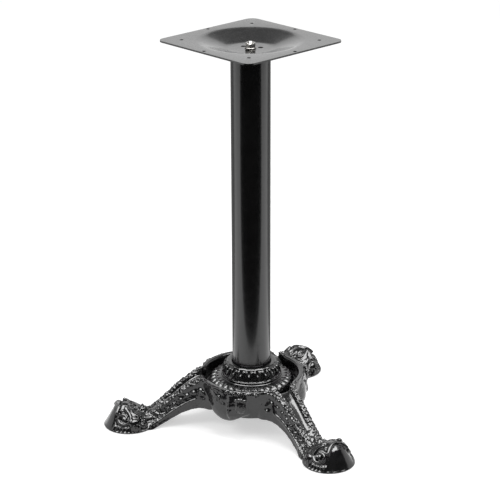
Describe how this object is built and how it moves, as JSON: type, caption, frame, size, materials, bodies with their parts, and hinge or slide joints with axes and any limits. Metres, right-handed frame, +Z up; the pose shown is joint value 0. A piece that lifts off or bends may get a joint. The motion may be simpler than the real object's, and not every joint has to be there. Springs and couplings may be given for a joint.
{
  "type": "pedestal table base",
  "caption": "Pedestal table base: an ornamented cast iron tripod foot with a round steel column and a dished square plate that bolts under a table top.",
  "frame": {"origin": "on the floor under the column's axis", "axes": "+Z up along the column; X and Y along the sides of the top plate"},
  "size_m": [0.4861, 0.4577, 0.72],
  "materials": {
    "cast_black": "gloss black enamel on iron",
    "column_black": "satin black powder coat",
    "plate_black": "satin black powder coat",
    "plated_steel": "zinc plated"
  },
  "bodies": {
    "root": {"tripod_base": "cast_black", "column_tube": "column_black", "top_plate": "plate_black", "tie_rod": "plated_steel", "washers": "plated_steel", "nuts": "plated_steel"}
  },
  "joints": []
}
